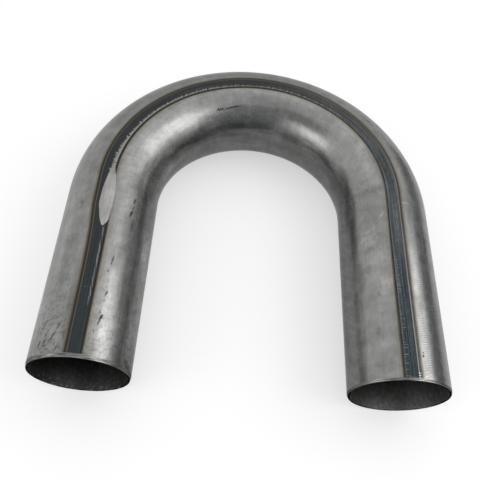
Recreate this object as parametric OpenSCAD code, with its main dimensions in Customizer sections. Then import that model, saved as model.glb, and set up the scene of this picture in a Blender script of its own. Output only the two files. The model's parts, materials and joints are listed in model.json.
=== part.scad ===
// Return bend: one length of seam-welded steel tube, mandrel-bent half a turn into a U
// with a straight leg left on each side. It lies flat, with both open ends facing -Y.
// Origin: the middle of its footprint, on the surface that it lies on. Millimetres, +Z up.

/* [Tube] */
// Outside diameter of the tube
tube_od = 57.15; // [40:0.05:80]
// Thickness of the tube's wall
wall = 1.65; // [1.2:0.05:3]

/* [Bend] */
// Radius of the bend, measured to the middle of the tube
bend_clr = 88.9; // [70:0.1:160]
// Straight leg on the left (-X) side, from the bend to the open end
left_leg = 119; // [40:0.5:300]
// Straight leg on the right (+X) side, from the bend to the open end
right_leg = 119; // [40:0.5:300]

/* [Weld seam] */
// Where the seam lies, in degrees from the top of the tube towards the outside of the bend
seam_angle = -2; // [-90:1:90]
// Width of the flat left outside, where the weld flash was shaved off
scarf_w = 5.2; // [3:0.1:8]
// Width of the low weld bead left inside
bead_w = 2.4; // [1.5:0.1:4]
// Height of the weld bead above the bore's wall
bead_h = 0.2; // [0.1:0.05:0.4]

/* [Cut ends] */
// Length of the ground outer edge at the left end
left_bevel_len = 2.2; // [0.5:0.1:4]
// Length of the ground outer edge at the right end
right_bevel_len = 1.3; // [0.5:0.1:4]
// How much wall the grinding took off at the very end
bevel_depth = 0.4; // [0.1:0.05:0.6]
// Size of the broken inner edge at both ends
inner_break = 0.25; // [0.1:0.05:0.5]

/* [Hidden] */
$fn = 128;

// A return bend sends the flow straight back
turn = 180;
tube_r = tube_od / 2;
bore_r = tube_r - wall;
// Distance from the tube's middle to the shaved flat, a chord of the outer circle
scarf_y = sqrt(tube_r * tube_r - scarf_w * scarf_w / 4);
// Radius of the arc that is bead_w wide and bead_h high
bead_r = (bead_w * bead_w / 4 + bead_h * bead_h) / (2 * bead_h);
// The bend's centre stands this far in front of (-) or behind (+) the middle of the footprint
bend_y = (max(left_leg, right_leg) - bend_clr - tube_r) / 2;
// How far a cutting shape runs past the surface that it cuts
past = 1;

// Weld bead inside the bore: a low arc, rooted in the middle of the wall
module bead_profile() {
    intersection() {
        translate([0, bore_r - bead_h + bead_r]) circle(r = bead_r);
        circle(r = tube_r - wall / 2);
    }
}

// Shaving cut across the outside of the weld
module scarf_profile() {
    translate([-scarf_w, scarf_y]) square([2 * scarf_w, tube_r - scarf_y + past]);
}

// Section of the tube, with X towards the outside of the bend and Y up
module tube_profile() {
    difference() {
        union() {
            difference() {
                circle(r = tube_r);
                circle(r = bore_r);
            }
            rotate(-seam_angle) bead_profile();
        }
        rotate(-seam_angle) scarf_profile();
    }
}

// What is ground off a cut end: a long shallow bevel outside and a small one inside.
// The end face lies in the plane Z = 0 and the tube runs up from it.
module end_grinding(bevel_len) {
    rotate_extrude() polygon([
        [tube_r, bevel_len],
        [tube_r - bevel_depth, 0],
        [tube_r - bevel_depth, -past],
        [tube_r + past, -past],
        [tube_r + past, bevel_len]
    ]);
    translate([0, 0, -past])
        cylinder(h = past + inner_break, r1 = bore_r + inner_break + past, r2 = bore_r);
}

// Straight leg from the end of the bend towards -Y, around the Y axis
module leg(leg_len, bevel_len) {
    rotate([90, 0, 0]) difference() {
        linear_extrude(leg_len) tube_profile();
        translate([0, 0, leg_len]) mirror([0, 0, 1]) end_grinding(bevel_len);
    }
}

module return_bend() {
    color("#868785") translate([0, bend_y, tube_r]) {
        rotate_extrude(angle = turn) translate([bend_clr, 0]) tube_profile();
        translate([bend_clr, 0, 0]) leg(right_leg, right_bevel_len);
        mirror([1, 0, 0]) translate([bend_clr, 0, 0]) leg(left_leg, left_bevel_len);
    }
}

return_bend();
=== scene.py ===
"""Return bend of raw seam-welded steel tube: its surfaces, finish, light and camera."""
import json
import math

import bpy
import numpy as np
from mathutils import Matrix, Vector


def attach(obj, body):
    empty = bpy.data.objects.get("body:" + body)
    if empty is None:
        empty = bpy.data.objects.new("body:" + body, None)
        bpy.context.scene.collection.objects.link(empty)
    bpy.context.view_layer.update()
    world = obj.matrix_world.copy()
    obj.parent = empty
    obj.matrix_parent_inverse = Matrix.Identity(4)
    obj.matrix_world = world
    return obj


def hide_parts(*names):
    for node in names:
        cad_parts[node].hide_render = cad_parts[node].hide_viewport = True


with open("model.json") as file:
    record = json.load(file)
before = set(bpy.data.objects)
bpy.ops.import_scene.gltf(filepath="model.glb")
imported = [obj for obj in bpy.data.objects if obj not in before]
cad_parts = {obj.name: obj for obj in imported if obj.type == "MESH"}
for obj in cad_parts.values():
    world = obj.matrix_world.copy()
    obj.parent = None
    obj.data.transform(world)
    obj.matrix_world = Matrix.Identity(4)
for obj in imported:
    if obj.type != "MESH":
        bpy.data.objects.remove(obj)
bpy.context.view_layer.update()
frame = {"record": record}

MM = 0.001
mounts = {mount["name"]: mount for mount in frame["record"]["mounts"]}

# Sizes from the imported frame, in metres
left_outside = mounts["left_end_outside"]
right_outside = mounts["right_end_outside"]
left_bore = mounts["left_end_bore"]
tube_r = left_outside["dims"]["r_mm"] * MM
bore_r = left_bore["dims"]["r_mm"] * MM
bend_clr = abs(left_outside["pos_m"][0])
axis_z = left_outside["pos_m"][2]
# A straight leg runs from the end face to where its plain outside meets the bend
bend_y = left_outside["pos_m"][1] + left_outside["dims"]["length_mm"] * MM / 2
end_y = mounts["left_end_face"]["pos_m"][1]
leg_len = bend_y - end_y
arc_len = math.pi * bend_clr
path_len = 2 * leg_len + arc_len
path_mm = path_len / MM
left_bevel_len = leg_len - left_outside["dims"]["length_mm"] * MM
right_bevel_len = leg_len - right_outside["dims"]["length_mm"] * MM
inner_break = leg_len - left_bore["dims"]["length_mm"] * MM

# Sizes that the frame doesn't state, as the solid has them
scarf_w = 5.2 * MM
flat_half_mm = scarf_w / MM / 2
bead_w = 2.4 * MM
bead_h = 0.2 * MM
bevel_depth = 0.4 * MM

# Lines of the weld seam, which wanders a little, each drawn through a few points of
# (mm along from the left end, mm around from the top, outward positive), in a belt this wide in mm
belt_mm = 16
seam_middle = [(0, -1.2), (70, -1.2), (122, 1.5), (260, 1.2), (330, 0.6), (398, -0.3), (path_mm, -0.5)]
inner_edge = [(0, -5.5), (80, -5.4), (122, -4.1), (230, -4.1), (300, -3.8), (350, -3.7), (400, -4.2),
              (440, -4.6), (path_mm, -5.0)]
outer_edge = [(0, 2.7), (55, 2.8), (80, 3.6), (103, 4.9), (165, 4.5), (200, 4.4), (330, 4.9), (400, 4.0),
              (path_mm, 3.8)]
# Both edges of a spot that was ground by hand; they cross at its ends
spot_inner = [(0, 3), (73, 3), (79.5, -2.9), (82, -4.6), (85, -5.8), (90, -6.3), (100, -6.8), (110, -6.4),
              (120, -4.6), (130, -2), (145, 3), (path_mm, 3)]
spot_outer = [(0, -8), (73, -8), (79.5, -3.2), (82, -1.8), (86, -0.4), (92, 0.8), (98, 1.6), (104, 1.5),
              (110, 0.9), (119, -0.4), (132, -4), (145, -8), (path_mm, -8)]

# Finishes, numbered as the tube's material slots
SKIN, GROUND, CUT, BORE = range(4)


def path_frame(along):
    """Middle line of the tube: straight up the left leg, half a circle, straight down the right leg.

    along is the distance from the left end. Gives the points and, at each, the direction away from
    the bend's centre, square to the line and level.
    """
    turn = np.clip((along - leg_len) / bend_clr, 0, math.pi)
    straight = along - leg_len - turn * bend_clr
    level = np.zeros_like(along)
    outward = np.stack([-np.cos(turn), np.sin(turn), level], -1)
    forward = np.stack([np.sin(turn), np.cos(turn), level], -1)
    points = outward * bend_clr + forward * straight[:, None]
    return points + np.array([0, bend_y, axis_z]), outward


def seam_turn(along):
    """Angle from the top at which the seam's middle runs, at each distance along."""
    places, offsets = np.array(seam_middle).T * MM
    return np.interp(along, places, offsets / tube_r)


def outer_radius(away):
    """Outside of the section, by angle away from the seam: a circle with a chord shaved off."""
    flat = math.sqrt(tube_r**2 - scarf_w**2 / 4)
    # Cosines below this lie off the flat, and the limit only keeps the division safe
    least = 0.5
    return np.where(np.cos(away) * tube_r > flat, flat / np.maximum(np.cos(away), least), tube_r)


def inner_radius(away):
    """Bore, by angle away from the seam: a circle with the low arc of the weld bead standing in from it."""
    arc_r = (bead_w**2 / 4 + bead_h**2) / (2 * bead_h)
    middle = bore_r - bead_h + arc_r
    under = arc_r**2 - (middle * np.sin(away)) ** 2
    bead = middle * np.cos(away) - np.sqrt(np.maximum(under, 0))
    on_bead = (under > 0) & (np.cos(away) > 0)
    return np.where(on_bead, np.minimum(bead, bore_r), bore_r)


def columns_around():
    """Angles around the section from the top, outward positive: close together across the seam.

    They start and end under the tube, where the join is hidden.
    """
    fine_reach = 9 * MM
    fine_count = 91
    coarse_count = 67
    fine_half = fine_reach / tube_r
    fine = np.linspace(-fine_half, fine_half, fine_count)
    coarse = np.linspace(fine_half, math.pi, coarse_count)
    return np.concatenate([-coarse[:0:-1], fine, coarse[1:-1]])


def rows_along():
    """Stations of one closed loop: along the outside, over the right end, back inside, over the left end.

    Gives each station's place on the path, how far it stands in from the outside or out from the bore,
    whether it is on the bore's side and which finish the faces after it have.
    """
    outside_count = 300
    bore_count = 90
    # A cut edge is eased over this much. Its stations are (distance from the end, inset).
    edge = 0.12 * MM
    left_slope = bevel_depth / left_bevel_len
    right_slope = bevel_depth / right_bevel_len
    left_edge = np.array([[edge / 4, bevel_depth + edge / 4], [edge, bevel_depth - edge * left_slope]])
    right_edge = np.array([[edge, bevel_depth - edge * right_slope], [edge / 4, bevel_depth + edge / 4]])
    lip = bevel_depth + edge
    between = np.linspace(left_bevel_len, path_len - right_bevel_len, outside_count)
    inside = np.linspace(path_len - inner_break, inner_break, bore_count)
    along = np.concatenate([
        [0], left_edge[:, 0], between, path_len - right_edge[:, 0], [path_len],
        [path_len], inside, [0],
    ])
    inset = np.concatenate([
        [lip], left_edge[:, 1], np.zeros_like(between), right_edge[:, 1], [lip],
        [inner_break], np.zeros_like(inside), [inner_break],
    ])
    bevel_rows = len(left_edge) + 1
    outer_count = outside_count + 2 * bevel_rows
    is_bore = np.arange(len(along)) >= outer_count
    finish = np.where(is_bore, BORE, SKIN)
    finish[:bevel_rows] = GROUND
    finish[outer_count - 1 - bevel_rows:outer_count - 1] = GROUND
    finish[outer_count - 1:outer_count + 1] = CUT
    finish[-2:] = CUT
    return along, inset, is_bore, finish


def corner_map(start, end, left, right):
    """Map of every face's four corners, from the values on its first and last row and column."""
    across = np.stack(np.broadcast_arrays(start, start, end, end), -1)
    up = np.stack(np.broadcast_arrays(left, right, right, left), -1)
    return np.stack(np.broadcast_arrays(across, up), -1).astype(np.float32).ravel()


def tube_shell(name, materials):
    """The whole tube as one closed surface: the section's radius carried along the path.

    A point is the path's point plus its radius times (sine of the angle times outward + cosine times up).
    One map holds mm along the path and mm around the outside from the top. The other lays the outside
    and the ends in one wide strip and the bore in a narrow one, to be baked.
    """
    around = columns_around()
    along, inset, is_bore, finish = rows_along()
    middle, outward = path_frame(along)
    away = around[None, :] - seam_turn(along)[:, None]
    outside = np.minimum(outer_radius(away), tube_r - inset[:, None])
    inside = inner_radius(away) + inset[:, None]
    radius = np.where(is_bore[:, None], inside, outside)
    up = np.array([0, 0, 1.0])
    ray = np.sin(around)[None, :, None] * outward[:, None, :] + np.cos(around)[None, :, None] * up
    points = middle[:, None, :] + radius[..., None] * ray

    rows, columns = radius.shape
    row = np.arange(rows)[:, None]
    column = np.arange(columns)[None, :]
    next_row = (row + 1) % rows
    next_column = (column + 1) % columns
    corners = [(row, column), (row, next_column), (next_row, next_column), (next_row, column)]
    faces = np.stack([r * columns + c for r, c in corners], -1).reshape(-1, 4)

    mesh = bpy.data.meshes.new(name)
    mesh.from_pydata(points.reshape(-1, 3), [], faces)
    closed = np.append(around, around[0] + 2 * math.pi)[None, :]
    around_mm = closed * tube_r / MM
    along_mm = along[:, None] / MM
    in_mm = corner_map(along_mm, along_mm[next_row[:, 0]], around_mm[:, :-1], around_mm[:, 1:])
    mesh.uv_layers.new(name="tube_map_mm").data.foreach_set("uv", in_mm)

    # The cut faces have no length along the path, so the strip gives them some past its ends
    cut_width = 2 * MM
    margin = 0.005
    bore_strip_top = 0.115
    outside_strip_foot = 0.13
    strip_place = along.copy()
    strip_place[is_bore & (along > path_len / 2)] = path_len + cut_width
    strip_place[is_bore & (along <= path_len / 2)] = -cut_width
    on_strip = finish != BORE
    here = np.where(on_strip, strip_place, along)
    after = np.where(on_strip, np.roll(strip_place, -1), np.roll(along, -1))
    low = np.where(on_strip, outside_strip_foot, margin)[:, None]
    high = np.where(on_strip, 1 - margin, bore_strip_top)[:, None]
    strip_len = path_len + 2 * cut_width
    spread = [margin + (1 - 2 * margin) * (place + cut_width) / strip_len for place in (here, after)]
    turned = low + (high - low) * (closed / (2 * math.pi) + 0.5)
    baked = corner_map(spread[0][:, None], spread[1][:, None], turned[:, :-1], turned[:, 1:])
    mesh.uv_layers.new(name="OFBake").data.foreach_set("uv", baked)

    for material in materials:
        mesh.materials.append(material)
    mesh.polygons.foreach_set("material_index", np.repeat(finish, columns).astype(np.int32))
    mesh.polygons.foreach_set("use_smooth", np.ones(rows * columns, bool))
    mesh.update()
    sharp_from = math.radians(8)
    mesh.set_sharp_from_angle(angle=sharp_from)
    piece = bpy.data.objects.new(name, mesh)
    bpy.context.scene.collection.objects.link(piece)
    return piece


def linear(hex_colour):
    """An sRGB hex colour as linear red, green, blue and alpha."""
    levels = [int(hex_colour[i:i + 2], 16) / 255 for i in (1, 3, 5)]
    return tuple(v / 12.92 if v <= 0.04045 else ((v + 0.055) / 1.055) ** 2.4 for v in levels) + (1.0,)


def add(tree, kind, inputs=None, **settings):
    """Add one node, set its properties, and set or link its inputs by name or number.

    An input takes a plain value, another node's output, or another node, whose first live output it is.
    """
    new = tree.nodes.new(kind)
    for key, value in settings.items():
        setattr(new, key, value)
    for socket, value in (inputs or {}).items():
        if isinstance(value, bpy.types.Node):
            value = next(output for output in value.outputs if output.enabled)
        if isinstance(value, bpy.types.NodeSocket):
            tree.links.new(value, new.inputs[socket])
        else:
            new.inputs[socket].default_value = value
    return new


def new_material(name):
    """An empty material and its node tree."""
    material = bpy.data.materials.new(name)
    material.use_nodes = True
    material.node_tree.nodes.clear()
    return material, material.node_tree


# Most of a noise lies between these values
noise_low = 0.3
noise_high = 0.7


def per_metre(size_mm):
    """Scale of a noise on Object coordinates whose lumps are about this many millimetres across."""
    return 1 / (size_mm * MM)


def tube_map(tree):
    """The tube's own map, as a whole and as its parts: mm along the tube and mm around it from the top."""
    flat = add(tree, "ShaderNodeUVMap", uv_map="tube_map_mm")
    split = add(tree, "ShaderNodeSeparateXYZ", {0: flat})
    return flat, split.outputs["X"], split.outputs["Y"]


def from_crown(tree, along):
    """How far a place is from the crown of the bend, in mm along the tube."""
    past = add(tree, "ShaderNodeMath", {0: along, 1: path_mm / 2}, operation="SUBTRACT")
    return add(tree, "ShaderNodeMath", {0: past}, operation="ABSOLUTE")


def streaks(tree, flat, length, width, turn, detail):
    """Noise drawn out into streaks of a length and width in mm, turned in degrees from along the tube."""
    drawn = add(tree, "ShaderNodeMapping", {
        "Vector": flat, "Rotation": (0, 0, math.radians(turn)), "Scale": (length, width, 1),
    }, vector_type="TEXTURE")
    return add(tree, "ShaderNodeTexNoise", {"Vector": drawn, "Scale": 1.0, "Detail": detail},
               noise_dimensions="2D")


def narrowed(tree, strength, limits, easing="SMOOTHSTEP"):
    """A strength where every value is past its limit: it fades in as a value goes from start to end."""
    for value, start, end in limits:
        here = add(tree, "ShaderNodeMapRange", {
            "Value": value, "From Min": start, "From Max": end, "To Min": 0.0, "To Max": 1.0,
        }, interpolation_type=easing)
        strength = add(tree, "ShaderNodeMath", {0: strength, 1: here}, operation="MULTIPLY")
    return strength


def map_line(tree, share, points):
    """A line on the tube's map, drawn through (mm along, mm around) points, as its mm around."""
    curve = add(tree, "ShaderNodeFloatCurve", {"Value": share})
    drawn = curve.mapping.curves[0].points
    places = [(x / path_mm, 0.5 + y / belt_mm) for x, y in points]
    drawn[0].location = places[0]
    drawn[-1].location = places[-1]
    for place in places[1:-1]:
        drawn.new(*place)
    for point in drawn:
        point.handle_type = "AUTO_CLAMPED"
    curve.mapping.update()
    centred = add(tree, "ShaderNodeMath", {0: curve, 1: 0.5}, operation="SUBTRACT")
    return add(tree, "ShaderNodeMath", {0: centred, 1: belt_mm}, operation="MULTIPLY")


def marked(tree, flat, ragged, tone, marks, rim):
    """Multiply the tone by each mark's gain inside its oval; the rim is the share of it that fades out.

    The gradient falls from 1 in the middle to 0 at spread times the oval, as far as a torn edge can reach.
    """
    spread = 1.8
    for along, around, half_length, half_width, turn, gain in marks:
        oval = add(tree, "ShaderNodeMapping", {
            "Vector": flat, "Location": (along, around, 0), "Rotation": (0, 0, math.radians(turn)),
            "Scale": (half_length * spread, half_width * spread, 1),
        }, vector_type="TEXTURE")
        near = add(tree, "ShaderNodeTexGradient", {"Vector": oval}, gradient_type="SPHERICAL").outputs[1]
        torn = add(tree, "ShaderNodeMath", {0: near, 1: -spread, 2: ragged}, operation="MULTIPLY_ADD")
        here = add(tree, "ShaderNodeMapRange", {
            "Value": torn, "From Min": 1 - rim - spread, "From Max": 1 - spread, "To Min": gain,
            "To Max": 1.0,
        }, interpolation_type="SMOOTHSTEP")
        tone = add(tree, "ShaderNodeMath", {0: tone, 1: here}, operation="MULTIPLY")
    return tone


# Marks on the tube: mm along, mm around from the top (outward positive), half length, half width,
# turn in degrees and how much lighter or darker the surface is there

# Broad soft patches: some are from handling, and some are painted reflection and painted shade,
# standing for the light and dark that the steel mirrored
handling_and_painted_reflection_patches = [
    # Left leg, outer side
    (30, 5.5, 45, 3, 0, 0.76),
    (30, 33, 36, 5, 0, 1.45),
    (78, 20.5, 34, 5, 0, 1.26),
    (110, 10, 85, 5, 0, 0.86),
    (115, 32.5, 20, 5, 0, 0.72),
    # Left leg, inner side
    (20, -24.5, 24, 4, 0, 1.25),
    (35, -10.5, 70, 6, 0, 1.26),
    (55, -20.5, 42, 3.5, 0, 0.72),
    (61, -15, 14, 5.5, 0, 0.74),
    (80, -17.5, 24, 5, 0, 0.70),
    (95, -13, 95, 11, 0, 1.28),
    # Left leg, inner side, low down
    (8, -42, 16, 9, 0, 0.70),
    (50, -30.2, 78, 2.4, 0, 0.66),
    (55, -26.5, 70, 2.6, 0, 1.16),
    (58, -40, 62, 10, 0, 1.5),
    (76, -35.5, 26, 7, 0, 1.35),
    (117, -32, 11, 3, 0, 0.66),
    # Bend, outer side
    (172, 17, 30, 8, 0, 0.88),
    (255, 13, 130, 12, 0, 0.74),
    (265, 21.5, 80, 9, 0, 0.57),
    # Bend, inner side
    (135, -19, 15, 4.5, 0, 1.35),
    (175, -11, 65, 8, 0, 1.36),
    (212, -24, 14, 5, 0, 0.78),
    (268, -15, 38, 6, 0, 0.78),
    (285, -6, 130, 4, 0, 1.3),
    (345, -14, 55, 12, 0, 1.22),
    (365, -9.5, 36, 5, 0, 1.22),
    # Bend, inner side, low down
    (128, -26, 24, 7, 0, 1.5),
    (132, -40, 28, 8, 0, 0.86),
    (140, -29.5, 44, 4, 0, 1.5),
    (142, -35.3, 34, 3.5, 0, 0.68),
    (157, -41.5, 34, 5, 0, 1.4),
    (160, -31.5, 30, 3, 0, 1.35),
    (185, -31.5, 55, 3.5, 0, 1.45),
    (190, -37, 50, 6, 0, 0.62),
    (207, -28.8, 16, 4, 0, 0.48),
    (218, -33.6, 34, 2.8, 0, 1.6),
    (228, -38.3, 34, 3, 0, 0.72),
    (245, -34, 60, 6, 0, 0.78),
    (252, -26, 14, 3.5, 0, 0.78),
    (265, -42, 150, 9, 0, 0.72),
    (265, -38, 40, 4, 0, 0.80),
    (270, -35.3, 18, 2.8, 0, 0.64),
    (288, -30, 13, 4.5, 0, 0.76),
    (322, -33.6, 38, 3.8, 0, 2.3),
    (352, -32, 18, 3.5, 0, 1.7),
    (352, -38.5, 20, 6, 0, 0.66),
    (365, -31, 40, 3.2, 0, 2.0),
    (368, -27, 16, 3.2, 0, 0.66),
    (385, -38, 35, 8, 0, 0.60),
    # Right leg, outer side
    (405, 9, 20, 4, 0, 0.80),
    (448, 8, 28, 4.5, 0, 1.40),
    (450, 22.5, 90, 7, 0, 0.88),
    (475, 32.5, 62, 6, 0, 0.66),
    (492, 7.5, 20, 4.5, 0, 0.92),
    # Right leg, inner side
    (410, -15, 16, 7, 0, 0.84),
    (450, -14, 24, 12, 0, 1.20),
    (455, -24.5, 12, 4, 0, 0.68),
    (490, -11, 40, 7, 0, 1.12),
    # Right leg, inner side, low down
    (398, -28.5, 22, 3.2, 0, 1.9),
    (402, -33, 26, 3.2, 0, 0.66),
    (460, -45, 85, 10, 0, 0.66),
    (474, -28, 52, 3, 0, 1.65),
]
# Smudges and rubbed spots, and two lighter spots that are painted reflection
smudges_and_painted_reflection = [
    # These two lighter spots are painted reflection of a brighter sky
    (98, -12, 8, 5, 0, 1.12),
    (125, -11, 22, 6, 0, 1.12),
    (113, -18, 5, 5, 0, 0.80),
    (86, -21, 7, 1.6, 0, 0.84),
    (48, 13.5, 17, 4.6, 0, 0.84),
    (34.5, 12.5, 1.6, 4.5, 6, 0.82),
    (71, 14, 6, 6, 0, 0.86),
    (97, 12.5, 4.2, 1.9, 10, 0.76),
    (394, -17, 4.5, 13, 0, 0.80),
    (429, -17, 8, 7, 0, 1.22),
    (445, -14, 9, 5, -20, 1.14),
    (437, -18, 3.4, 7, 25, 0.74),
    (450, -20.5, 3.6, 6, 30, 0.76),
    (463, -11.5, 6, 2.4, 0, 1.16),
    (467, -14.2, 4.5, 1.2, 12, 0.78),
    (489, -16, 3.4, 4.4, 30, 0.78),
    (500, -14, 6, 5, 0, 1.12),
    (510, -13, 5, 8, 0, 0.88),
    (430, 20.5, 13, 3.6, -8, 0.62),
    (5, -33, 4, 4, 20, 0.62),
    (2.5, -38, 4.5, 12, 0, 0.34),
    (227, 12.0, 5.0, 1.8, 0, 0.70),
    (342, 17.0, 3.0, 2.0, 20, 0.48),
    (338, 12.3, 1.6, 1.2, 0, 0.42),
]
# Short dark scuffs inside of the seam
scuffs = [
    (15.8, -9.6, 1.6, 0.5, 20, 0.45),
    (21.5, -11.6, 3.0, 0.8, -12, 0.38),
    (24.3, -12.4, 2.0, 1.1, -18, 0.16),
    (26.5, -11.0, 1.6, 0.9, 0, 0.66),
    (34, -12.3, 2.4, 0.5, -6, 0.60),
    (38.4, -12.6, 2.8, 0.8, -14, 0.32),
    (51.8, -11.2, 1.2, 0.9, 0, 0.60),
    (59, -12.5, 4.8, 0.75, -6, 0.34),
    (93.6, -18.6, 3.6, 1.1, -12, 0.22),
    (97.5, -19.2, 2.6, 0.7, -10, 0.45),
    (103, -19.4, 2.6, 0.95, -16, 0.26),
    (86, -20.6, 3.0, 0.6, 0, 0.62),
    (91, -25.6, 5.4, 1.0, 0, 0.60),
    (226.2, -19.0, 1.6, 0.8, 55, 0.26),
    (228.2, -18.9, 1.8, 0.8, 55, 0.22),
    (230.0, -19.0, 1.6, 0.7, 50, 0.28),
    (228.3, -19.2, 3.4, 0.9, 0, 0.72),
]
# Scratches, and the tool strokes near the left end
scratches = [
    (414, -9.0, 4.4, 0.6, -32, 1.40),
    (422, -14.0, 3.0, 0.5, -25, 1.28),
    (238.5, -18.8, 12, 0.7, 6, 0.18),
    (503.6, 6.2, 1.2, 0.9, -15, 0.08),
    (501.7, 6.5, 0.9, 0.6, 0, 0.32),
    (7.5, 20.0, 2.8, 0.8, -6, 0.36),
    (8.8, 16.2, 3.0, 0.75, -24, 0.36),
    (6.5, 16.0, 0.6, 1.6, 0, 0.50),
    (11.0, 11.6, 3.6, 0.8, -26, 0.36),
    (17.0, 9.2, 3.6, 0.7, -20, 0.42),
    (18.6, 18.6, 3.0, 0.8, -22, 0.40),
    (20.6, 17.5, 1.0, 1.2, 0, 0.50),
    (16.0, 23.0, 4.5, 0.55, 0, 0.55),
    (14.0, 21.0, 3.0, 0.5, -24, 0.58),
    (24.5, 21.5, 4.0, 0.5, -12, 0.60),
    (27.0, 16.5, 3.4, 0.45, -24, 0.62),
    (12.5, 16.0, 2.2, 0.8, -25, 0.50),
    (4.3, 13.5, 0.8, 1.5, 0, 0.50),
    (4.5, 8.0, 2.6, 0.8, -25, 0.46),
    (10.0, 13.8, 3.0, 0.6, -24, 1.22),
    (15.5, 12.0, 3.0, 0.6, -24, 1.20),
    (21.4, 14.0, 0.7, 4.5, 10, 0.60),
    (23.0, 12.0, 0.6, 4.0, 6, 0.74),
    (30.0, 12.0, 0.7, 4.6, 0, 1.16),
    (32.2, 13.2, 0.6, 4.8, 0, 0.78),
    (12.0, 5.0, 4.0, 0.9, 0, 0.58),
    (9.4, 12.6, 1.6, 0.5, -30, 0.45),
    (13.2, 10.4, 1.6, 0.5, -30, 0.45),
    (14.6, 15.0, 1.6, 0.45, -20, 0.55),
    (19.8, 20.4, 1.3, 0.7, -40, 0.40),
    (16.6, 20.0, 1.4, 0.5, 20, 0.48),
    (11.5, 23.4, 2.4, 0.45, 0, 0.55),
    (7.2, 9.4, 1.6, 0.45, -24, 0.52),
    (4.8, 6.4, 1.4, 0.5, -20, 0.48),
    (19.2, 7.8, 1.3, 0.45, -24, 0.52),
]
# Nicks and strokes, over the seam too
nicks = [
    (40.3, -0.8, 0.30, 1.8, 0, 2.0),
    (84.6, -5.3, 3.0, 0.8, -14, 1.28),
    (109.8, 0.9, 2.6, 0.35, -8, 1.30),
    (99, 0.5, 19, 2.6, 2, 0.84),
    (98, -6.9, 10, 0.4, 0, 0.74),
    (114, -5.9, 5, 0.4, 14, 0.74),
    (127.6, -2.4, 0.45, 1.6, 10, 0.30),
    (403.3, 6.5, 0.6, 6.0, 4, 1.45),
    (406.2, 2.6, 0.22, 0.7, 0, 1.7),
    (407.8, 2.7, 0.22, 0.7, 0, 1.7),
    (409.4, 2.7, 0.22, 0.7, 0, 1.6),
    (411.0, 2.7, 0.22, 0.6, 0, 1.5),
    (513.2, 3.2, 0.35, 1.1, 0, 4.6),
    (514.5, 3.2, 0.35, 1.1, 0, 4.2),
    (515.7, 3.3, 0.30, 1.0, 0, 3.4),
    (515.7, -0.5, 0.30, 3.2, 0, 2.6),
    (512.2, 7.4, 0.35, 1.6, 28, 1.5),
    (513.4, 9.4, 0.35, 1.7, -28, 1.5),
    (514.4, 7.2, 0.35, 1.6, 28, 1.5),
    (515.2, 9.8, 0.35, 1.6, -28, 1.5),
    (514.8, 12.0, 0.35, 1.4, 28, 1.4),
]


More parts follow.
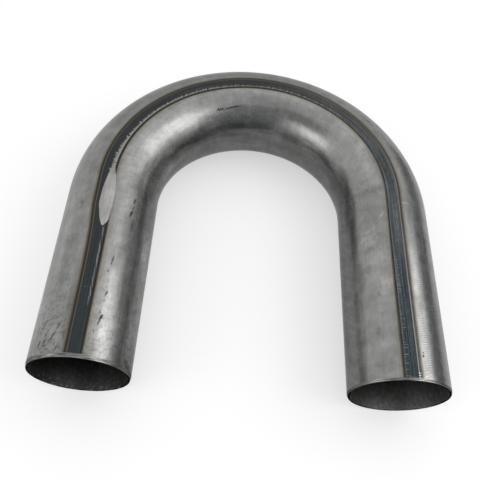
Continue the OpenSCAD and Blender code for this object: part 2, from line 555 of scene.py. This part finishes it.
def steel_tone(tree, solid, flat, along, around):
    """Light and dark of the bare steel, as a factor: clouds, streaks, painted light on the lower sides,
    marks and chatter.
    """
    # Clouds of dried oil and mill handling, as size in mm and depth
    tone = 1.0
    for size, depth in ((30, 0.07), (11, 0.07), (4, 0.05)):
        cloud = add(tree, "ShaderNodeTexNoise", {"Vector": solid, "Scale": per_metre(size), "Detail": 3.0})
        swing = add(tree, "ShaderNodeMapRange", {
            "Value": cloud, "From Min": noise_low, "From Max": noise_high, "To Min": 1 - depth,
            "To Max": 1 + depth,
        }, clamp=False)
        tone = add(tree, "ShaderNodeMath", {0: tone, 1: swing}, operation="MULTIPLY")

    # Streaks as length and width in mm, turn from along the tube and depth: fine draw lines, which are
    # finer still in truth, smears along and across, and rub marks aslant
    for length, width, turn, depth in ((40, 0.7, 0, 0.04), (9, 1.6, 0, 0.05), (16, 5, 90, 0.06),
                                       (13, 2.6, -40, 0.04)):
        streak = streaks(tree, flat, length, width, turn, 3.0)
        swing = add(tree, "ShaderNodeMapRange", {
            "Value": streak, "From Min": noise_low, "From Max": noise_high, "To Min": 1 - depth,
            "To Max": 1 + depth,
        }, clamp=False)
        tone = add(tree, "ShaderNodeMath", {0: tone, 1: swing}, operation="MULTIPLY")

    # Flecks of dirt, dense near the left end and faint elsewhere
    flecks = add(tree, "ShaderNodeTexNoise", {"Vector": solid, "Scale": per_metre(1.9), "Detail": 2.0})
    fleck = add(tree, "ShaderNodeMapRange", {
        "Value": flecks, "From Min": 0.5, "From Max": 0.68, "To Min": 0.0, "To Max": 1.0,
    })
    near_left = add(tree, "ShaderNodeMapRange", {
        "Value": along, "From Min": 5.0, "From Max": 60.0, "To Min": 0.34, "To Max": 0.06,
    })
    dirt = add(tree, "ShaderNodeMath", {0: fleck, 1: near_left}, operation="MULTIPLY")
    clean = add(tree, "ShaderNodeMath", {0: 1.0, 1: dirt}, operation="SUBTRACT")
    tone = add(tree, "ShaderNodeMath", {0: tone, 1: clean}, operation="MULTIPLY")

    # The die rubbed streaks into the lower sides, alike on both legs, and the lower sides carry painted
    # light:
    # the inside of the bend is darker there, which is painted shade for the dark floor it mirrors, and
    # streaked aslant; the outside is a little lighter, which is painted reflection, and streaked along.
    # Towards the crown the streaks fade. Each side has the mm around where it starts and is full, its gain,
    # depth and turn.
    crown_mm = from_crown(tree, along)
    paired = add(tree, "ShaderNodeCombineXYZ", {"X": crown_mm, "Y": around})
    shown = add(tree, "ShaderNodeMapRange", {
        "Value": crown_mm, "From Min": 70.0, "From Max": 140.0, "To Min": 0.2, "To Max": 1.0,
    })
    for edge, full, gain, depth, turn in ((-26, -34, 0.62, 0.08, 55), (20, 32, 1.20, 0.05, 0)):
        rubs = streaks(tree, paired, 13, 2.4, turn, 4.0)
        swing = add(tree, "ShaderNodeMapRange", {
            "Value": rubs, "From Min": noise_low, "From Max": noise_high, "To Min": -depth, "To Max": depth,
        }, clamp=False)
        streaked = add(tree, "ShaderNodeMath", {0: swing, 1: shown, 2: gain}, operation="MULTIPLY_ADD")
        streaked_and_painted_lower_side = add(tree, "ShaderNodeMapRange", {
            "Value": around, "From Min": edge, "From Max": full, "To Min": 1.0, "To Max": streaked,
        }, interpolation_type="SMOOTHSTEP")
        tone = add(tree, "ShaderNodeMath", {0: tone, 1: streaked_and_painted_lower_side}, operation="MULTIPLY")

    # Marks with torn edges, some of them painted reflection and painted shade: the tears' size in mm and
    # depth, the marks, and how much of each one fades out
    for size, tear, marks, rim in ((14, 1.0, handling_and_painted_reflection_patches, 0.9), (2.6, 1.9, smudges_and_painted_reflection, 0.9),
                                   (1.2, 1.5, scuffs, 0.6), (1.2, 0.9, scratches, 0.7)):
        torn = add(tree, "ShaderNodeTexNoise", {"Vector": solid, "Scale": per_metre(size), "Detail": 2.0})
        ragged = add(tree, "ShaderNodeMath", {0: torn, 1: tear, 2: -tear / 2}, operation="MULTIPLY_ADD")
        tone = marked(tree, flat, ragged, tone, marks, rim)

    # Chatter of the shaving tool beside the seam on the right leg, a little aslant
    chatter_mm = 1.3
    chatter_slant = 0.25
    chatter_depth = 0.22
    ripple = add(tree, "ShaderNodeMath", {0: around, 1: chatter_slant, 2: along}, operation="MULTIPLY_ADD")
    ripple = add(tree, "ShaderNodeMath", {0: ripple, 1: 2 * math.pi / chatter_mm}, operation="MULTIPLY")
    ripple = add(tree, "ShaderNodeMath", {0: ripple}, operation="SINE")
    patchy = add(tree, "ShaderNodeTexNoise", {"Vector": solid, "Scale": per_metre(4), "Detail": 1.0})
    limits = ((along, 445, 465), (around, 6.0, 7.5), (around, 13.0, 10.0), (patchy, 0.35, 0.6))
    ripple = narrowed(tree, ripple, limits, "LINEAR")
    ripple = add(tree, "ShaderNodeMath", {0: ripple, 1: chatter_depth, 2: 1.0}, operation="MULTIPLY_ADD")
    return add(tree, "ShaderNodeMath", {0: tone, 1: ripple}, operation="MULTIPLY")


def oxide_band(tree, flat, share, off_middle):
    """Blue-grey oxide on the shaved flat: lighter on the far side of the bend, streaked by the tool."""
    stops = [(0.0, "#3b4042"), (0.25, "#3b3c3d"), (0.5, "#3f403f"), (0.63, "#535454"), (0.79, "#585b5d"),
             (0.86, "#4e5255"), (0.98, "#3d4346")]
    oxide = add(tree, "ShaderNodeValToRGB", {0: share})
    elements = oxide.color_ramp.elements
    for element, (position, colour) in zip(elements, (stops[0], stops[-1])):
        element.position = position
        element.color = linear(colour)
    for position, colour in stops[1:-1]:
        elements.new(position).color = linear(colour)

    # The half towards the outside of the bend is a little redder
    outer_half = add(tree, "ShaderNodeMapRange", {
        "Value": off_middle, "From Min": -1.0, "From Max": 2.0, "To Min": 0.0, "To Max": 1.0,
    }, interpolation_type="SMOOTHSTEP")
    hue = add(tree, "ShaderNodeMix", {0: outer_half, 6: linear("#f8ffff"), 7: linear("#fffafc")},
              data_type="RGBA")
    band = add(tree, "ShaderNodeMix", {0: 1.0, 6: oxide, 7: hue}, data_type="RGBA", blend_type="MULTIPLY")

    # The tool's streaks, as length and width in mm, turn and depth, show more past the crown
    shown = add(tree, "ShaderNodeMapRange", {
        "Value": share, "From Min": 0.2, "From Max": 0.62, "To Min": 0.3, "To Max": 0.9,
    })
    for length, width, turn, depth in ((40, 0.8, 0, 0.42), (5, 0.6, 0, 0.12), (6, 1.2, -50, 0.14)):
        streak = streaks(tree, flat, length, width, turn, 2.0)
        swing = add(tree, "ShaderNodeMapRange", {
            "Value": streak, "From Min": noise_low, "From Max": noise_high, "To Min": 1 - depth,
            "To Max": 1 + depth,
        }, clamp=False)
        band = add(tree, "ShaderNodeMix", {0: shown, 6: band, 7: swing}, data_type="RGBA",
                   blend_type="MULTIPLY")
    return band


def burnt_edges(tree, band, along, off_middle, off_inner, off_outer):
    """Brown and near-black heat marks along both edges of the flat, with a light ridge by the outer one.

    The outer mark is soft round the bend and worn off by the right end, where the inner one is rusty.
    """
    # Strengths that change between two places along the tube, in mm
    fades = []
    for start, end, first, last in ((115, 135, 0.9, 0.1), (135, 190, 0.9, 0.25), (350, 400, 0.25, 0.7),
                                    (405, 470, 0.7, 0.15)):
        fades.append(add(tree, "ShaderNodeMapRange", {
            "Value": along, "From Min": start, "From Max": end, "To Min": first, "To Max": last,
        }))
    on_left_leg, before, past, worn = fades
    past = add(tree, "ShaderNodeMath", {0: past, 1: worn}, operation="MINIMUM")
    crisp = add(tree, "ShaderNodeMath", {0: before, 1: past}, operation="MAXIMUM")
    for off, start, end, strength in ((off_middle, -flat_half_mm - 0.8, -flat_half_mm - 1.4, on_left_leg),
                                      (off_outer, -0.9, -0.2, crisp)):
        browned = add(tree, "ShaderNodeMapRange", {
            "Value": off, "From Min": start, "From Max": end, "To Min": 0.0, "To Max": strength,
        }, interpolation_type="SMOOTHSTEP")
        band = add(tree, "ShaderNodeMix", {0: browned, 6: band, 7: linear("#433d35")}, data_type="RGBA")

    # The ridge is brown on the left leg and bare on the right leg, where a bare line shows inside too
    bared = add(tree, "ShaderNodeMapRange", {
        "Value": along, "From Min": 320.0, "From Max": 430.0, "To Min": 0.0, "To Max": 1.0,
    })
    ridge_colour = add(tree, "ShaderNodeMix", {0: bared, 6: linear("#64615a"), 7: linear("#82807b")},
                       data_type="RGBA")
    inside_share = 0.45
    inside_bare = add(tree, "ShaderNodeMath", {0: bared, 1: inside_share}, operation="MULTIPLY")

    # The inner edge is a broken line
    break_mm = 9
    breaks = add(tree, "ShaderNodeTexNoise", {"W": along, "Scale": 1 / break_mm, "Detail": 3.0},
                 noise_dimensions="1D")
    broken = add(tree, "ShaderNodeMapRange", {
        "Value": breaks, "From Min": 0.35, "From Max": 0.6, "To Min": 0.5, "To Max": 0.95,
    })
    rusty = add(tree, "ShaderNodeMapRange", {
        "Value": along, "From Min": 462.0, "From Max": 482.0, "To Min": 0.0, "To Max": 1.0,
    })
    inner_colour = add(tree, "ShaderNodeMix", {0: rusty, 6: linear("#2a2620"), 7: linear("#43352b")},
                       data_type="RGBA")

    # Each line has the edge it follows, mm outward of that edge, half its width in mm, strength and colour
    lines = (
        (off_outer, -1.1, 0.42, 0.8, ridge_colour),
        (off_outer, 0.0, 0.7, crisp, linear("#38342c")),
        (off_inner, 0.9, 0.35, inside_bare, linear("#7d7b76")),
        (off_inner, 0.0, 0.42, broken, inner_colour),
    )
    core_share = 0.3
    for off, place, half_width, strength, colour in lines:
        beside = add(tree, "ShaderNodeMath", {0: off, 1: place}, operation="SUBTRACT")
        beside = add(tree, "ShaderNodeMath", {0: beside}, operation="ABSOLUTE")
        on_line = add(tree, "ShaderNodeMapRange", {
            "Value": beside, "From Min": half_width * core_share, "From Max": half_width,
            "To Min": strength, "To Max": 0.0,
        }, interpolation_type="SMOOTHSTEP")
        band = add(tree, "ShaderNodeMix", {0: on_line, 6: band, 7: colour}, data_type="RGBA")
    return band


def bare_teeth(tree, band, along, off_middle, off_inner):
    """Bare steel that the shaving tool left inside of the flat: torn teeth that thin out round the bend."""
    tooth_mm = 1.7
    reach_mm = 5.0
    lean = -0.5
    leaning = add(tree, "ShaderNodeMath", {0: off_middle, 1: lean, 2: along}, operation="MULTIPLY_ADD")
    teeth = add(tree, "ShaderNodeTexNoise", {
        "W": leaning, "Scale": 1 / tooth_mm, "Detail": 3.0, "Roughness": 0.65,
    }, noise_dimensions="1D")
    depth = add(tree, "ShaderNodeMath", {0: teeth, 1: reach_mm, 2: -reach_mm / 2 - flat_half_mm},
                operation="MULTIPLY_ADD")
    depth = add(tree, "ShaderNodeMath", {0: depth, 1: off_middle}, operation="SUBTRACT")
    # How the teeth's depth changes, in mm, between two places along the tube
    for start, end, change in ((122, 160, -1.2), (160, 250, -0.2), (260, 325, 0.5), (325, 345, -3.0)):
        thinning = add(tree, "ShaderNodeMapRange", {
            "Value": along, "From Min": start, "From Max": end, "To Min": 0.0, "To Max": change,
        })
        depth = add(tree, "ShaderNodeMath", {0: depth, 1: thinning}, operation="ADD")
    strip = add(tree, "ShaderNodeMapRange", {
        "Value": along, "From Min": 170.0, "From Max": 250.0, "To Min": 0.9, "To Max": 0.62,
    })
    strip = narrowed(tree, strip, ((depth, -0.6, 0.4), (off_inner, 0.5, 0.9), (along, 114, 122)))
    return add(tree, "ShaderNodeMix", {0: strip, 6: band, 7: linear("#9b9993")}, data_type="RGBA")


def tool_dashes(tree, band, along, off_middle):
    """Thin bare strokes, one over the next like the lay of a rope, inside of the flat on the left leg."""
    stroke_mm = 9.0
    rise_mm = 1.3
    inward_mm = flat_half_mm + 0.9
    for start_share in (0.0, 0.3, 0.65):
        count = add(tree, "ShaderNodeMath", {0: along, 1: 1 / stroke_mm, 2: start_share},
                    operation="MULTIPLY_ADD")
        within = add(tree, "ShaderNodeMath", {0: count}, operation="FRACT")
        which = add(tree, "ShaderNodeMath", {0: count}, operation="FLOOR")
        which = add(tree, "ShaderNodeMath", {0: which, 1: start_share}, operation="ADD")
        luck = add(tree, "ShaderNodeTexWhiteNoise", {"W": which}, noise_dimensions="1D")
        drift = add(tree, "ShaderNodeMath", {0: within, 1: -rise_mm, 2: inward_mm},
                    operation="MULTIPLY_ADD")
        beside = add(tree, "ShaderNodeMath", {0: off_middle, 1: drift}, operation="ADD")
        beside = add(tree, "ShaderNodeMath", {0: beside}, operation="ABSOLUTE")
        dashes = add(tree, "ShaderNodeMapRange", {
            "Value": luck, "From Min": 0.0, "From Max": 1.0, "To Min": 0.05, "To Max": 0.85,
        })
        limits = ((beside, 0.25, 0.05), (within, 0.05, 0.3), (within, 0.95, 0.7), (along, 28, 36),
                  (along, 81, 78))
        dashes = narrowed(tree, dashes, limits)
        band = add(tree, "ShaderNodeMix", {0: dashes, 6: band, 7: linear("#a6a3a5")}, data_type="RGBA")
    return band


def tool_ticks(tree, band, along, off_inner):
    """Thin bare ticks across the inside of the flat on the right leg, of mixed length and brightness."""
    tick_mm = 1.7
    shortest_mm = 1.2
    more_mm = 2.4
    wobbles_per_mm = 0.35
    wobble = add(tree, "ShaderNodeTexNoise", {"W": along, "Scale": wobbles_per_mm, "Detail": 0.0},
                 noise_dimensions="1D")
    count = add(tree, "ShaderNodeMath", {0: along, 1: 1 / tick_mm, 2: wobble}, operation="MULTIPLY_ADD")
    within = add(tree, "ShaderNodeMath", {0: count}, operation="FRACT")
    which = add(tree, "ShaderNodeMath", {0: count}, operation="FLOOR")
    luck = add(tree, "ShaderNodeTexWhiteNoise", {"W": which}, noise_dimensions="1D")
    luck_colour = add(tree, "ShaderNodeSeparateColor", {0: luck.outputs["Color"]})
    length = add(tree, "ShaderNodeMath", {0: luck_colour.outputs[0], 1: more_mm, 2: shortest_mm},
                 operation="MULTIPLY_ADD")
    left_over = add(tree, "ShaderNodeMath", {0: length, 1: off_inner}, operation="SUBTRACT")
    ticks = add(tree, "ShaderNodeMapRange", {
        "Value": luck_colour.outputs[1], "From Min": 0.0, "From Max": 1.0, "To Min": 0.15, "To Max": 0.75,
    })
    limits = ((within, 0.3, 0.48), (within, 0.7, 0.52), (off_inner, 0.5, 0.8), (left_over, 0.0, 0.5),
              (along, 434, 442))
    ticks = narrowed(tree, ticks, limits)
    return add(tree, "ShaderNodeMix", {0: ticks, 6: band, 7: linear("#94969a")}, data_type="RGBA")


def raw_steel():
    """Cold-rolled steel strip, welded into tube and drawn round a mandrel, left bare and a little oily.

    A grey satin metal, cloudy and streaked along the tube, with a dark blue-grey shaved seam between
    brown heat-tinted edges, chatter from the shaving tool, and scuffs from the bending die.
    """
    material, tree = new_material("cold_rolled_steel_mill_finish")
    solid = add(tree, "ShaderNodeTexCoord").outputs["Object"]
    flat, along, around = tube_map(tree)
    share = add(tree, "ShaderNodeMath", {0: along, 1: path_mm}, operation="DIVIDE")
    tone = steel_tone(tree, solid, flat, along, around)
    steel = add(tree, "ShaderNodeMix", {0: 1.0, 6: linear("#8e8e8d"), 7: tone}, data_type="RGBA",
                blend_type="MULTIPLY")

    # How far a point stands outward of each line, in mm
    off = []
    for points in (seam_middle, inner_edge, outer_edge, spot_inner, spot_outer):
        line = map_line(tree, share, points)
        off.append(add(tree, "ShaderNodeMath", {0: around, 1: line}, operation="SUBTRACT"))
    off_middle, off_inner, off_outer, off_spot_inner, off_spot_outer = off

    # Heat tint that fades out from both edges of the seam
    inward = add(tree, "ShaderNodeMath", {0: off_inner, 1: -1.0}, operation="MULTIPLY")
    outside = add(tree, "ShaderNodeMath", {0: inward, 1: off_outer}, operation="MAXIMUM")
    warm = add(tree, "ShaderNodeMapRange", {
        "Value": outside, "From Min": 0.2, "From Max": 4.0, "To Min": 0.75, "To Max": 0.0,
    }, interpolation_type="SMOOTHSTEP")
    steel = add(tree, "ShaderNodeMix", {0: warm, 6: steel, 7: linear("#f0e6d0")}, data_type="RGBA",
                blend_type="MULTIPLY")

    # Inside the seam's edges the seam shows, and outside them the steel
    seam = oxide_band(tree, flat, share, off_middle)
    seam = burnt_edges(tree, seam, along, off_middle, off_inner, off_outer)
    seam = bare_teeth(tree, seam, along, off_middle, off_inner)
    seam = tool_dashes(tree, seam, along, off_middle)
    seam = tool_ticks(tree, seam, along, off_inner)
    within = narrowed(tree, 1.0, ((off_inner, -1.5, -0.3), (off_outer, 2.2, -0.2)))
    colour = add(tree, "ShaderNodeMix", {0: within, 6: steel, 7: seam}, data_type="RGBA")

    # The hand-ground spot is light bare steel, duller towards the bend
    dulled = add(tree, "ShaderNodeMapRange", {
        "Value": along, "From Min": 108.0, "From Max": 126.0, "To Min": 0.0, "To Max": 1.0,
    }, interpolation_type="SMOOTHSTEP")
    spot_colour = add(tree, "ShaderNodeMix", {0: dulled, 6: linear("#acaba9"), 7: linear("#9a9995")},
                      data_type="RGBA")
    spot_colour = add(tree, "ShaderNodeMix", {0: 1.0, 6: spot_colour, 7: tone}, data_type="RGBA",
                      blend_type="MULTIPLY")
    spot = narrowed(tree, 1.0, ((off_spot_inner, -0.2, 0.8), (off_spot_outer, 0.3, -0.3)))
    colour = add(tree, "ShaderNodeMix", {0: spot, 6: colour, 7: spot_colour}, data_type="RGBA")

    # Nicks over everything
    nicked = marked(tree, flat, 0.0, 1.0, nicks, 0.7)
    colour = add(tree, "ShaderNodeMix", {0: 1.0, 6: colour, 7: nicked}, data_type="RGBA",
                 blend_type="MULTIPLY", clamp_result=True)

    # The steel's gloss is uneven, and the seam is a little duller
    seam_dulling = 0.06
    haze = add(tree, "ShaderNodeTexNoise", {"Vector": solid, "Scale": per_metre(7), "Detail": 3.0})
    rough = add(tree, "ShaderNodeMapRange", {
        "Value": haze, "From Min": noise_low, "From Max": noise_high, "To Min": 0.22, "To Max": 0.30,
    })
    rough = add(tree, "ShaderNodeMath", {0: within, 1: seam_dulling, 2: rough}, operation="MULTIPLY_ADD")

    # Waves left by the mandrel, drawn out along the tube: most swing by less than half of this
    wave_mm = 0.06
    waves = streaks(tree, flat, 30, 6, 0, 2.0)
    height = add(tree, "ShaderNodeMath", {0: waves, 1: wave_mm}, operation="MULTIPLY")
    bump = add(tree, "ShaderNodeBump", {"Height": height, "Distance": MM, "Strength": 1.0})

    # Worn, oily steel mirrors less at a glancing angle than clean steel does
    glancing = (0.7, 0.7, 0.7, 1.0)
    shader = add(tree, "ShaderNodeBsdfPrincipled", {
        "Base Color": colour, "Metallic": 1.0, "Roughness": rough, "Specular Tint": glancing,
        "Normal": bump,
    })
    add(tree, "ShaderNodeOutputMaterial", {"Surface": shader})
    return material


def ground_steel():
    """Outer edge of a cut end, ground by hand: light and dark grinding lines around the tube.

    Down the sides it turns as grey as the tube, and below it is painted dark, as shade.
    """
    material, tree = new_material("ground_steel_edge")
    flat, along, around = tube_map(tree)
    lines = streaks(tree, flat, 0.4, 7, 0, 4.0)
    grain = add(tree, "ShaderNodeMapRange", {
        "Value": lines, "From Min": 0.35, "From Max": 0.65, "To Min": 0.0, "To Max": 1.0,
    })
    colour = add(tree, "ShaderNodeMix", {0: grain, 6: linear("#4c4b49"), 7: linear("#9b9a97")},
                 data_type="RGBA")
    # The last half millimetre or so is brightest
    half = path_mm / 2
    at_edge = add(tree, "ShaderNodeMapRange", {
        "Value": from_crown(tree, along), "From Min": half - 0.8, "From Max": half - 0.3, "To Min": 0.0,
        "To Max": 0.8,
    })
    edge_tone = add(tree, "ShaderNodeMath", {0: at_edge, 1: grain}, operation="MULTIPLY")
    colour = add(tree, "ShaderNodeMix", {0: edge_tone, 6: colour, 7: linear("#a8a7a4")}, data_type="RGBA")
    # Greys down the sides and, as painted shade, below: mm down around the tube where they start and are
    # full, and their share
    down = add(tree, "ShaderNodeMath", {0: around}, operation="ABSOLUTE")
    for start, end, share, grey in ((14, 30, 0.85, "#605f5d"), (32, 46, 0.9, "#3c3b3a")):
        low = add(tree, "ShaderNodeMapRange", {
            "Value": down, "From Min": start, "From Max": end, "To Min": 0.0, "To Max": share,
        })
        colour = add(tree, "ShaderNodeMix", {0: low, 6: colour, 7: linear(grey)}, data_type="RGBA")

    # The lines make it dull at a glancing angle
    glancing = (0.5, 0.5, 0.5, 1.0)
    shader = add(tree, "ShaderNodeBsdfPrincipled", {
        "Base Color": colour, "Metallic": 1.0, "Roughness": 0.34, "Specular Tint": glancing,
    })
    add(tree, "ShaderNodeOutputMaterial", {"Surface": shader})
    return material


def cut_steel():
    """Cut face and inner edge of an end: dull and painted dark, as shade, with bare specks on the lower
    lip.
    """
    material, tree = new_material("sawn_steel_oily")
    solid = add(tree, "ShaderNodeTexCoord").outputs["Object"]
    _, _, around = tube_map(tree)
    specks = add(tree, "ShaderNodeTexNoise", {"Vector": solid, "Scale": per_metre(2.2), "Detail": 3.0})
    bare = add(tree, "ShaderNodeMapRange", {
        "Value": specks, "From Min": 0.46, "From Max": 0.64, "To Min": 0.0, "To Max": 1.0,
    })
    down = add(tree, "ShaderNodeMath", {0: around}, operation="ABSOLUTE")
    low = add(tree, "ShaderNodeMapRange", {
        "Value": down, "From Min": 50.0, "From Max": 75.0, "To Min": 0.25, "To Max": 1.0,
    })
    bare = add(tree, "ShaderNodeMath", {0: bare, 1: low}, operation="MULTIPLY")
    # The dark ground colour is painted shade, and the light specks are bare steel
    colour = add(tree, "ShaderNodeMix", {0: bare, 6: linear("#161514"), 7: linear("#7d7c79")},
                 data_type="RGBA")

    # It is duller still at a glancing angle
    glancing = (0.3, 0.3, 0.3, 1.0)
    shader = add(tree, "ShaderNodeBsdfPrincipled", {
        "Base Color": colour, "Metallic": 1.0, "Roughness": 0.5, "Specular Tint": glancing,
    })
    add(tree, "ShaderNodeOutputMaterial", {"Surface": shader})
    return material


def scaled_bore():
    """Inside of the tube: dark mill scale in faint clouds with draw lines.

    It is painted lighter low down and by the ends, as light that reaches in there, and is lighter on the
    right; it has bare specks by the ends.
    """
    material, tree = new_material("mill_scaled_steel_bore")
    solid = add(tree, "ShaderNodeTexCoord").outputs["Object"]
    flat, along, around = tube_map(tree)
    line_share = 0.6
    lines = streaks(tree, flat, 9, 1.6, 0, 3.0)
    clouds = add(tree, "ShaderNodeTexNoise", {"Vector": solid, "Scale": per_metre(2.5), "Detail": 4.0})
    patchy = add(tree, "ShaderNodeMath", {0: lines, 1: line_share, 2: clouds}, operation="MULTIPLY_ADD")
    patchy = add(tree, "ShaderNodeMapRange", {
        "Value": patchy, "From Min": 0.6, "From Max": 1.0, "To Min": 0.0, "To Max": 1.0,
    })
    colour = add(tree, "ShaderNodeMix", {0: patchy, 6: linear("#424241"), 7: linear("#555554")},
                 data_type="RGBA")
    # Lighter to the right; painted light low down and by the ends, and painted shade deeper in, each from
    # one place in mm to another
    down = add(tree, "ShaderNodeMath", {0: around}, operation="ABSOLUTE")
    from_end = add(tree, "ShaderNodeMath", {0: path_mm / 2, 1: from_crown(tree, along)},
                   operation="SUBTRACT")
    for value, start, end, first, last in ((along, 200, 400, 0.8, 1.6), (down, 40, 85, 0.9, 2.1),
                                           (from_end, 2, 22, 1.3, 0.45)):
        lighter_and_painted_light = add(tree, "ShaderNodeMapRange", {
            "Value": value, "From Min": start, "From Max": end, "To Min": first, "To Max": last,
        })
        colour = add(tree, "ShaderNodeMix", {0: 1.0, 6: colour, 7: lighter_and_painted_light}, data_type="RGBA",
                     blend_type="MULTIPLY")
    grains = add(tree, "ShaderNodeTexNoise", {"Vector": solid, "Scale": per_metre(1.8), "Detail": 3.0})
    specks = add(tree, "ShaderNodeMapRange", {
        "Value": from_end, "From Min": 1.0, "From Max": 9.0, "To Min": 0.5, "To Max": 0.0,
    })
    bare = add(tree, "ShaderNodeMapRange", {
        "Value": grains, "From Min": 0.54, "From Max": 0.66, "To Min": 0.0, "To Max": specks,
    })
    colour = add(tree, "ShaderNodeMix", {0: bare, 6: colour, 7: linear("#b0afad")}, data_type="RGBA")
    shader = add(tree, "ShaderNodeBsdfPrincipled", {
        "Base Color": colour, "Metallic": 1.0, "Roughness": 0.5,
    })
    add(tree, "ShaderNodeOutputMaterial", {"Surface": shader})
    return material


tube = tube_shell("bent_tube", [raw_steel(), ground_steel(), cut_steel(), scaled_bore()])
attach(tube, "root")
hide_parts("return_bend")


def pale_floor():
    """Matt white studio floor, partly lit from within where the camera or the metal sees it.

    That share keeps the background white and the object's shadow on it light.
    """
    lit_share = 0.5
    material, tree = new_material("matt_white_sweep")
    paper = add(tree, "ShaderNodeBsdfPrincipled", {
        "Base Color": linear("#fafafa"), "Roughness": 0.9, "Specular IOR Level": 0.1,
    })
    rays = add(tree, "ShaderNodeLightPath")
    seen = 0.0
    for kind in ("Is Camera Ray", "Is Glossy Ray", "Is Transmission Ray"):
        seen = add(tree, "ShaderNodeMath", {0: seen, 1: rays.outputs[kind]}, operation="MAXIMUM")
    lit = add(tree, "ShaderNodeMath", {0: seen, 1: lit_share}, operation="MULTIPLY")
    white = add(tree, "ShaderNodeEmission", {"Color": linear("#ffffff"), "Strength": 1.0})
    mixed = add(tree, "ShaderNodeMixShader", {0: lit, 1: paper, 2: white})
    add(tree, "ShaderNodeOutputMaterial", {"Surface": mixed})
    return material


def flat_card(name, centre, facing, width, height, material, roll=0):
    """A flat rectangle around a centre, square to where it faces and rolled in its own plane."""
    turn = Vector(facing).to_track_quat("Z", "Y").to_matrix() @ Matrix.Rotation(math.radians(roll), 3, "Z")
    corners = [(-1, -1), (1, -1), (1, 1), (-1, 1)]
    points = [Vector(centre) + turn @ Vector((x * width / 2, y * height / 2, 0)) for x, y in corners]
    mesh = bpy.data.meshes.new(name)
    mesh.from_pydata(points, [], [(0, 1, 2, 3)])
    mesh.materials.append(material)
    card = bpy.data.objects.new(name, mesh)
    bpy.context.scene.collection.objects.link(card)
    return card


floor_size = 8.0
flat_card("floor", (0, 0, 0), (0, 0, 1), floor_size, floor_size, pale_floor())


def direction(azimuth, elevation):
    """Unit vector at degrees around from +X towards +Y and degrees above the floor."""
    a = math.radians(azimuth)
    e = math.radians(elevation)
    return Vector((math.cos(e) * math.cos(a), math.cos(e) * math.sin(a), math.sin(e)))


def soft_box(name, azimuth, elevation, roll, distance, width, height, power):
    """A rectangular soft lamp that faces the bend, rolled in its own plane.

    Angles are in degrees, the distance and the sides in metres and the power in watts. A small lamp
    stands before a large one, so that it dims towards its edges as a real soft box does.
    """
    toward = direction(azimuth, elevation)
    for part, size, share, behind in (("middle", 0.82, 0.37, 0.0), ("rim", 1.18, 0.63, 0.02)):
        lamp = bpy.data.lights.new(f"{name}_{part}", "AREA")
        lamp.shape = "RECTANGLE"
        lamp.size = width * size
        lamp.size_y = height * size
        lamp.energy = power * share
        holder = bpy.data.objects.new(lamp.name, lamp)
        holder.matrix_world = (
            Matrix.Translation(toward * (distance + behind) + Vector((0, 0, axis_z)))
            @ toward.to_track_quat("Z", "Y").to_matrix().to_4x4()
            @ Matrix.Rotation(math.radians(roll), 4, "Z")
        )
        bpy.context.scene.collection.objects.link(holder)


soft_box("right_soft_box", -1, 44, -15, 1.2, 1.1, 0.66, 4.4)
soft_box("left_front_soft_box", -150, 29.5, 0, 1.2, 0.62, 0.48, 1.5)


def felt(low, high):
    """Felt on the cards that darken what the metal mirrors, one grey low down and another high up."""
    low_z = 0.2
    high_z = 1.1
    material, tree = new_material("grey_felt_card")
    solid = add(tree, "ShaderNodeTexCoord").outputs["Object"]
    split = add(tree, "ShaderNodeSeparateXYZ", {0: solid})
    rise = add(tree, "ShaderNodeMapRange", {
        "Value": split.outputs["Z"], "From Min": low_z, "From Max": high_z, "To Min": 0.0, "To Max": 1.0,
    })
    colour = add(tree, "ShaderNodeMix", {0: rise, 6: linear(low), 7: linear(high)}, data_type="RGBA")
    cloth = add(tree, "ShaderNodeBsdfPrincipled", {
        "Base Color": colour, "Roughness": 1.0, "Specular IOR Level": 0.0,
    })
    add(tree, "ShaderNodeOutputMaterial", {"Surface": cloth})
    return material


def flag(name, azimuth, elevation, roll, distance, width, height, cover):
    """A card beside the set, which only shows in what the metal mirrors.

    Angles are in degrees, and the distance and the sides in metres.
    """
    toward = direction(azimuth, elevation)
    card = flat_card(name, toward * distance, -toward, width, height, cover, -roll)
    card.visible_camera = False
    card.visible_diffuse = False
    card.visible_shadow = False


dark_felt = felt("#6a6d6d", "#9fa3a3")
flag("front_flag", -79, 30, 0, 1.2, 1.4, 1.85, dark_felt)
flag("high_left_flag", -134, 60, 0, 1.2, 0.85, 0.52, felt("#a0a0a0", "#a0a0a0"))
flag("right_flag", -4, 15, 0, 0.22, 0.47, 0.078, felt("#989c9c", "#989c9c"))
flag("low_front_flag", -62, 3, 0, 0.3, 0.36, 0.08, dark_felt)
flag("low_right_flag", 30, 11, 18, 1.2, 0.62, 0.32, felt("#8c8c8c", "#8c8c8c"))

room_light = 0.9
world = bpy.data.worlds.new("white_studio")
world.use_nodes = True
world.node_tree.nodes["Background"].inputs["Color"].default_value = (room_light, room_light, room_light, 1)
bpy.context.scene.world = world
bpy.context.scene.view_settings.view_transform = "Standard"

# Camera at the photograph's angle, with the lens that its perspective needs
camera_turn = math.radians(-3.163)
camera_tilt = math.radians(32.06)
camera_roll = math.radians(6.922)
camera_distance = 366.58 * MM
camera_target = Vector((-4.443 * MM, bend_y - 23.984 * MM, axis_z))
camera = bpy.data.cameras.new("photo_camera")
camera.sensor_width = 36.0
camera.lens = 42.88
camera.clip_start = 0.01
camera_facing = (
    Matrix.Rotation(camera_turn, 4, "Z")
    @ Matrix.Rotation(camera_tilt, 4, "X")
    @ Matrix.Rotation(camera_roll, 4, "Z")
)
tripod = bpy.data.objects.new("photo_camera", camera)
tripod.matrix_world = (
    Matrix.Translation(camera_target)
    @ camera_facing
    @ Matrix.Translation((0, 0, camera_distance))
)
bpy.context.scene.collection.objects.link(tripod)
bpy.context.scene.camera = tripod
